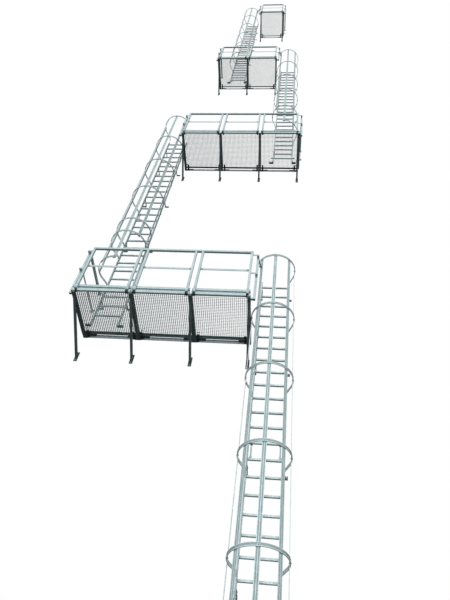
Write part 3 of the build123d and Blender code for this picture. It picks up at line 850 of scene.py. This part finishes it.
def post_details(landing):
    """Bolts at the post feet, hooks and plugs under them, seams below the rail and caps."""
    bolts = Shape()
    hooks = Shape()
    plugs = Shape()
    covers = Shape()
    seams = Shape()
    around = square_outline(POST_SEAM_HALF)
    half = POST_PLUG[2] / 2
    floor_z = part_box(f"landing_{landing}_gratings")[1].z
    rim_low, rim_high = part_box(f"landing_{landing}_floor_frames")
    front = rim_low.y
    middle_x = (rim_low.x + rim_high.x) / 2
    for points in solids(f"landing_{landing}_posts"):
        low, high = corners(points)
        top_low, top_high = corners([p for p in points if abs(p.z - high.z) < NEAR])
        x = (top_low.x + top_high.x) / 2
        y = (top_low.y + top_high.y) / 2
        plugs.brick((x, y, low.z - half), POST_PLUG, POST_PLUG_EDGE)
        if y > front:
            if high.z > floor_z + TALL_POST:
                covers.brick((x, y, high.z + half), POST_PLUG, POST_PLUG_EDGE)
            continue
        for z in (rim_high.z - POST_BOLT_DROP, floor_z + TOE_BAND_RISE):
            bolt(bolts, (x, top_low.y, z), TO_FRONT, POST_BOLT)
            nut(bolts, (x, front + POST_NUT_DEPTH, z), TO_WALL, POST_NUT)
        if min(x - rim_low.x, rim_high.x - x) < END_POST_REACH:
            inward = END_HOOK_SHIFT if x < middle_x else -END_HOOK_SHIFT
            hook(hooks, x + inward, y, rim_low.z, END_HOOK_WIDTH, END_HOOK_NUT)
        else:
            hook(hooks, x, y, rim_low.z, HOOK_WIDTH, HOOK_NUT)
        seam = [(x + dx, y + dy, high.z - POST_SEAM_DROP) for dx, dy in around]
        seams.bead(seam, POST_SEAM, closed=True)
    bolts.finish(f"landing_{landing}_post_bolts", fastener)
    hooks.finish(f"landing_{landing}_post_hooks", blackened)
    plugs.finish(f"landing_{landing}_post_plugs", plastic)
    covers.finish(f"landing_{landing}_post_covers", aged)
    seams.finish(f"landing_{landing}_post_seams", bright, SEAM_SHARP_ANGLE)


# Rails
TOP_RAIL_OVER = 1
RAIL_CAP = 0.003
RAIL_CAP_INSET = 0.001
RAIL_EDGE = 0.0012
CLEAT_THICKNESS = 0.005
CLEAT_DEPTH = 0.018
CLEAT_WIDTH = 0.036
CLEAT_BOLT = 0.012
CLEAT_BOLT_X = 0.004
CLEAT_BOLT_STEP = 0.012
RAIL_PLATE_BOLT = 0.015
RAIL_PLATE_BOLT_X = 0.025
RAIL_PLATE_BOLT_Z = 0.028


def rail_details(landing):
    """End plugs of the top rail, cleats of the middle rails and bolts of the wall plates."""
    cleats = Shape()
    covers = Shape()
    bolts = Shape()
    floor_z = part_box(f"landing_{landing}_gratings")[1].z
    half = CLEAT_THICKNESS / 2
    for low, high in boxes(f"landing_{landing}_rails"):
        centre = (low + high) / 2
        size = high - low
        if size.x > LONG and centre.z > floor_z + TOP_RAIL_OVER:
            cap = (RAIL_CAP, size.y - RAIL_CAP_INSET, size.z - RAIL_CAP_INSET)
            for px, side in ((low.x, -1), (high.x, 1)):
                covers.brick((px + side * RAIL_CAP / 2, centre.y, centre.z), cap, RAIL_EDGE)
        elif size.x > LONG:
            for px, side in ((low.x, 1), (high.x, -1)):
                end = (px + side * half, low.y - CLEAT_DEPTH / 2, centre.z)
                cleats.brick(end, (CLEAT_THICKNESS, CLEAT_DEPTH, size.z), RAIL_EDGE)
                flange = Vector((px + side * CLEAT_WIDTH / 2, low.y - half, centre.z))
                cleats.brick(flange, (CLEAT_WIDTH, CLEAT_THICKNESS, size.z), RAIL_EDGE)
                for step in (-CLEAT_BOLT_STEP, CLEAT_BOLT_STEP):
                    spot = flange + Vector((side * CLEAT_BOLT_X, -half, step))
                    bolt(bolts, spot, TO_FRONT, CLEAT_BOLT)
        elif size.y < THIN:
            for px in (-RAIL_PLATE_BOLT_X, RAIL_PLATE_BOLT_X):
                for pz in (-RAIL_PLATE_BOLT_Z, RAIL_PLATE_BOLT_Z):
                    spot = (centre.x + px, low.y, centre.z + pz)
                    bolt(bolts, spot, TO_FRONT, RAIL_PLATE_BOLT)
    cleats.finish(f"landing_{landing}_rail_cleats", aged)
    covers.finish(f"landing_{landing}_rail_covers", aged)
    bolts.finish(f"landing_{landing}_rail_bolts", fastener)


# Toe boards
TOE_DOME = 0.008
TOE_DOME_INSET = 0.018
TOE_DOME_STEP = 0.013
TOE_BOLT = 0.014
TOE_BOLT_RISE = 0.035
TOE_BOLT_SHARES = (0.08, 0.36, 0.64, 0.92)


def toe_board_bolts():
    """Round heads near the ends of the front boards and bolts along the outer face of the end boards."""
    shape = Shape()
    for low, high in boxes("toe_boards"):
        z = high.z - TOE_BOARD_TOP + TOE_BAND_RISE
        if high.x - low.x > LONG:
            for px in (low.x + TOE_DOME_INSET, high.x - TOE_DOME_INSET):
                for step in (-TOE_DOME_STEP, TOE_DOME_STEP):
                    dome(shape, (px, low.y, z + step), TO_FRONT, TOE_DOME)
        else:
            middle = landing_middle(low.z)
            outer = max((low.x, high.x), key=lambda px: abs(px - middle))
            side = 1 if outer == high.x else -1
            for share in TOE_BOLT_SHARES:
                py = low.y + (high.y - low.y) * share
                bolt(shape, (outer, py, z), (side, 0, 0), TOE_BOLT)
                bolt(shape, (outer, py, low.z + TOE_BOLT_RISE), (side, 0, 0), TOE_BOLT)
    shape.finish("toe_board_bolts", fastener)


def landing_middle(z):
    """Middle X of the landing at a height."""
    middles = []
    for landing in LANDINGS:
        first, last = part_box(f"landing_{landing}_floor_frames")
        middles.append((abs(first.z - z), (first.x + last.x) / 2))
    return min(middles)[1]


# Supports; the rear clip's outline lists Y and Z from the wall plate's face at the rim's underside
PLATE_BOLT = 0.02
PLATE_BOLT_REACH = (0.08, 0.16)
PLATE_BOLT_MARGIN = 0.01
PLATE_BOLT_RISE = 0.022
LOWER_BOLT = 0.018
LOWER_BOLT_X = 0.041
LOWER_BOLT_ROOM = 0.045
ARM_BOLT = 0.016
ARM_BOLT_Y = (-0.30, -0.95)
FOOT_PLATE_RISE = 0.04
FOOT_PLATE_HOLE_Z = 0.085
ARM_SEAM = 0.0035
ARM_SEAM_Y = -0.0195
ARM_SEAM_DROP = 0.048
ARM_SEAM_ALONG = (0, 0, 0.046)
ARM_SEAM_STEPS = 9
STRUT_SEAM = 0.0032
STRUT_SEAM_Y = -0.955
STRUT_SEAM_ALONG = (0, 0.078, 0)
STRUT_SEAM_STEPS = 11
CLIP_OFFSET = 0.073
CLIP_WIDTH = 0.040
CLIP_OUTLINE = (
    (0.0, -0.046), (0.0, -0.006), (-0.006, 0.0), (-0.144, 0.0), (-0.152, -0.008),
    (-0.152, -0.034), (-0.144, -0.034), (-0.144, -0.012), (-0.140, -0.008),
    (-0.012, -0.008), (-0.008, -0.012), (-0.008, -0.046),
)
CLIP_NUTS = (
    (-0.052, -0.008, DOWN, 0.018),
    (-0.112, -0.008, DOWN, 0.020),
    (-0.008, -0.032, TO_FRONT, 0.014),
)
RAIL_ANCHOR_SHARES = (0.25, 0.75)


def rear_clip(shape, x, back, z):
    """Hook clip that ties the rim's underside to a wall plate; back is the plate's front face."""
    shape.strip((x, back, z), CLIP_WIDTH, CLIP_OUTLINE)
    for dy, dz, direction, size in CLIP_NUTS:
        nut(shape, (x, back + dy, z + dz), direction, size)


def support_details(landing):
    """Bolts and hook clips of the wall plates, anchors of the foot plates, seams of arms and struts."""
    bolts = Shape()
    seams = Shape()
    clips = Shape()
    anchors = Shape()
    rim_low, rim_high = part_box(f"landing_{landing}_floor_frames")
    top = rim_low.z
    arm_low = top - ARM_DEPTH
    foot_z = arm_low - STRUT_DROP + FOOT_PLATE_RISE
    for points in solids(f"landing_{landing}_brackets"):
        low, high = corners(points)
        first, last = corners([p for p in points if p.y < low.y + NEAR])
        x = (first.x + last.x) / 2
        for side in SIDES:
            for reach in PLATE_BOLT_REACH:
                px = x + side * reach
                if low.x + PLATE_BOLT_MARGIN < px < high.x - PLATE_BOLT_MARGIN:
                    bolt(bolts, (px, PLATE_FACE_Y, top + PLATE_BOLT_RISE), TO_FRONT, PLATE_BOLT)
            if low.x < x + side * LOWER_BOLT_ROOM < high.x:
                spot = (x + side * LOWER_BOLT_X, PLATE_FACE_Y, top - ARM_DEPTH / 2)
                bolt(bolts, spot, TO_FRONT, LOWER_BOLT)
            clip_x = x + side * CLIP_OFFSET
            if rim_low.x + CLIP_WIDTH < clip_x < rim_high.x - CLIP_WIDTH:
                rear_clip(clips, clip_x, PLATE_FACE_Y, top)
            anchor(anchors, Vector((x, FOOT_PLATE_FACE_Y, foot_z + side * FOOT_PLATE_HOLE_Z)))
            for py in ARM_BOLT_Y:
                bolt(bolts, (x + side * ARM_HALF, py, top - ARM_DEPTH / 2), (side, 0, 0), ARM_BOLT)
            start = (x + side * (ARM_HALF + SEAM_GAP), ARM_SEAM_Y, top - ARM_SEAM_DROP)
            seams.seam(start, ARM_SEAM_ALONG, ARM_SEAM_STEPS, ARM_SEAM)
            start = (x + side * (STRUT_HALF + SEAM_GAP), STRUT_SEAM_Y, arm_low - SEAM_GAP)
            seams.seam(start, STRUT_SEAM_ALONG, STRUT_SEAM_STEPS, STRUT_SEAM)
    clips.finish(f"landing_{landing}_rear_clips", blackened)
    anchors.finish(f"landing_{landing}_foot_anchors", fastener)
    bolts.finish(f"landing_{landing}_support_bolts", shade)
    seams.finish(f"landing_{landing}_support_seams", shade, SEAM_SHARP_ANGLE)


def wall_rail_anchors():
    """Anchors of the wall rails, between the wall plates."""
    shape = Shape()
    for low, high in boxes("wall_rails"):
        landing = min(LANDINGS, key=lambda n: abs(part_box(f"landing_{n}_gratings")[1].z - high.z))
        plates = []
        for first, last in boxes(f"landing_{landing}_brackets"):
            plates.append((first.x, last.x))
        plates.sort()
        for (_, left), (right, _) in zip(plates, plates[1:]):
            for share in RAIL_ANCHOR_SHARES:
                spot = Vector((left + (right - left) * share, low.y, (low.z + high.z) / 2))
                anchor(shape, spot)
    shape.finish("wall_rail_anchors", fastener)


# Exit clamps
CLAMP_SADDLE = (0.042, 0.042, 0.03)
CLAMP_SADDLE_REACH = 0.03
CLAMP_SADDLE_EDGE = 0.003
CLAMP_END_DEPTH = 0.04
CLAMP_BOLT = 0.014


def clamp_details():
    """Saddles and bolts at both ends of the exit clamps."""
    shape = Shape()
    saddles = Shape()
    for points in solids("exit_clamps"):
        low, high = corners(points)
        front = [p for p in points if p.y < low.y + CLAMP_END_DEPTH]
        back = [p for p in points if p.y > high.y - NEAR]
        start = sum(back, Vector()) / len(back)
        end = sum(front, Vector()) / len(front)
        along = (end - start).normalized()
        for spot, sign in ((start, 1), (end, -1)):
            middle = spot + along * sign * CLAMP_SADDLE_REACH
            saddles.block(at(middle, along), CLAMP_SADDLE, CLAMP_SADDLE_EDGE)
            for side in SIDES:
                across = along.cross(Vector(UP)).normalized() * side
                bolt(shape, middle + across * CLAMP_SADDLE[0] / 2, across, CLAMP_BOLT)
    saddles.finish("clamp_saddles", bright)
    shape.finish("clamp_bolts", fastener)


# Stage: a pale floor, a key light from high in front, a soft low fill and a weak lamp from behind
FLOOR_X = (-8.5, 5.5)
FLOOR_Y = (-7.0, 2.5)
FLOOR_DROP = 0.005
FLOOR_ROUGHNESS = 0.8
FLOOR_SEEN = (0.74, 0.74, 0.73, 1)
FLOOR_LIT = (0.12, 0.12, 0.12, 1)
SKY_FROM = (-0.05, -0.72, 0.69)
SKY_LOW = (0.25, (0.028, 0.035, 0.036, 1))
SKY_MIDDLE = (0.58, (0.11, 0.125, 0.13, 1))
SKY_HIGH = (1.0, (0.62, 0.66, 0.70, 1))
LAMP_COLOUR = (1.0, 0.99, 0.96)
KEY_FROM = (0.0, -0.83, 0.56)
KEY_STRENGTH = 1.75
KEY_WIDTH = 10
FILL_FROM = (0.0, -0.99, -0.12)
FILL_STRENGTH = 0.9
FILL_WIDTH = 40
BACK_FROM = (0.25, 0.80, 0.55)
BACK_STRENGTH = 0.8
BACK_WIDTH = 40

# Camera at the photograph's viewing angle; pan, tilt above the horizon and roll are in degrees
CAMERA_PLACE = (0.2008, -6.8779, 0.8750)
CAMERA_PAN = 9.489
CAMERA_TILT = 50.98
CAMERA_ROLL = 9.381
CAMERA_LENS = 34.664
CAMERA_SENSOR = 36
CAMERA_REACH = 200


def seen_rays(nodes, links):
    """1 for rays that come straight, by reflection or through glass from the camera."""
    ray = nodes.new("ShaderNodeLightPath")
    total = ray.outputs["Is Camera Ray"]
    for name in ("Is Glossy Ray", "Is Transmission Ray"):
        node = nodes.new("ShaderNodeMath")
        node.operation = "MAXIMUM"
        links.new(total, node.inputs[0])
        links.new(ray.outputs[name], node.inputs[1])
        total = node.outputs["Value"]
    return total


def make_floor():
    """Floor just below the ground, pale to the camera and dim to the object."""
    floor = bpy.data.meshes.new("floor")
    (x0, x1), (y0, y1) = FLOOR_X, FLOOR_Y
    floor.from_pydata([(x0, y0, 0), (x1, y0, 0), (x1, y1, 0), (x0, y1, 0)], [], [(0, 1, 2, 3)])
    piece = bpy.data.objects.new("floor", floor)
    piece.location.z = GROUND_Z - FLOOR_DROP
    bpy.context.scene.collection.objects.link(piece)
    paint = bpy.data.materials.new("pale_floor")
    paint.use_nodes = True
    nodes = paint.node_tree.nodes
    links = paint.node_tree.links
    shader = nodes["Principled BSDF"]
    shader.inputs["Roughness"].default_value = FLOOR_ROUGHNESS
    tone = nodes.new("ShaderNodeMix")
    tone.data_type = "RGBA"
    tone.inputs["A"].default_value = FLOOR_LIT
    tone.inputs["B"].default_value = FLOOR_SEEN
    links.new(seen_rays(nodes, links), tone.inputs["Factor"])
    links.new(tone.outputs["Result"], shader.inputs["Base Color"])
    floor.materials.append(paint)


def make_world():
    """White to the camera; the object gets soft light, brightest from high in front."""
    world = bpy.data.worlds.new("studio")
    bpy.context.scene.world = world
    world.use_nodes = True
    nodes = world.node_tree.nodes
    links = world.node_tree.links
    nodes.clear()
    output = nodes.new("ShaderNodeOutputWorld")
    place = nodes.new("ShaderNodeTexCoord")
    toward = nodes.new("ShaderNodeVectorMath")
    toward.operation = "DOT_PRODUCT"
    toward.inputs[1].default_value = SKY_FROM
    links.new(place.outputs["Generated"], toward.inputs[0])
    height = nodes.new("ShaderNodeMapRange")
    height.inputs["From Min"].default_value = -1
    height.inputs["From Max"].default_value = 1
    links.new(toward.outputs["Value"], height.inputs["Value"])
    ramp = nodes.new("ShaderNodeValToRGB")
    links.new(height.outputs["Result"], ramp.inputs["Fac"])
    elements = ramp.color_ramp.elements
    elements[0].position, elements[0].color = SKY_LOW
    elements[1].position, elements[1].color = SKY_HIGH
    elements.new(SKY_MIDDLE[0]).color = SKY_MIDDLE[1]
    soft = nodes.new("ShaderNodeBackground")
    links.new(ramp.outputs["Color"], soft.inputs["Color"])
    white = nodes.new("ShaderNodeBackground")
    white.inputs["Color"].default_value = (1, 1, 1, 1)
    mix = nodes.new("ShaderNodeMixShader")
    links.new(seen_rays(nodes, links), mix.inputs["Fac"])
    links.new(soft.outputs["Background"], mix.inputs[1])
    links.new(white.outputs["Background"], mix.inputs[2])
    links.new(mix.outputs["Shader"], output.inputs["Surface"])


def make_lamp(name, direction, strength, width):
    """Sun lamp that shines from a direction; its width in degrees softens the shadows."""
    lamp = bpy.data.lights.new(name, "SUN")
    lamp.energy = strength
    lamp.angle = math.radians(width)
    lamp.color = LAMP_COLOUR
    sun = bpy.data.objects.new(name, lamp)
    bpy.context.scene.collection.objects.link(sun)
    sun.rotation_mode = "QUATERNION"
    sun.rotation_quaternion = Vector(direction).to_track_quat("Z", "Y")


def make_camera():
    """Camera below the first landing, looking up the wall."""
    lens = bpy.data.cameras.new("camera")
    lens.sensor_width = CAMERA_SENSOR
    lens.lens = CAMERA_LENS
    lens.clip_end = CAMERA_REACH
    camera = bpy.data.objects.new("camera", lens)
    bpy.context.scene.collection.objects.link(camera)
    turn = Matrix.Rotation(math.radians(CAMERA_PAN), 4, "Z")
    turn = turn @ Matrix.Rotation(math.radians(90 + CAMERA_TILT), 4, "X")
    turn = turn @ Matrix.Rotation(math.radians(CAMERA_ROLL), 4, "Z")
    camera.matrix_world = Matrix.Translation(CAMERA_PLACE) @ turn
    bpy.context.scene.camera = camera


dress_nodes()
for flight in FLIGHTS:
    hoop_details(flight)
    strap_details(flight)
    cage_bolts(flight)
    rung_details(flight)
    stile_caps(flight)
    wall_bracket_bolts(flight)
    bracket_welds(flight)
for landing in LANDINGS:
    grating_details(landing)
    post_details(landing)
    rail_details(landing)
    support_details(landing)
splice_details()
foot_bolts()
toe_board_bolts()
wall_rail_anchors()
clamp_details()
make_floor()
make_world()
make_lamp("key", KEY_FROM, KEY_STRENGTH, KEY_WIDTH)
make_lamp("fill", FILL_FROM, FILL_STRENGTH, FILL_WIDTH)
make_lamp("back", BACK_FROM, BACK_STRENGTH, BACK_WIDTH)
make_camera()
bpy.context.scene.view_settings.view_transform = "Standard"
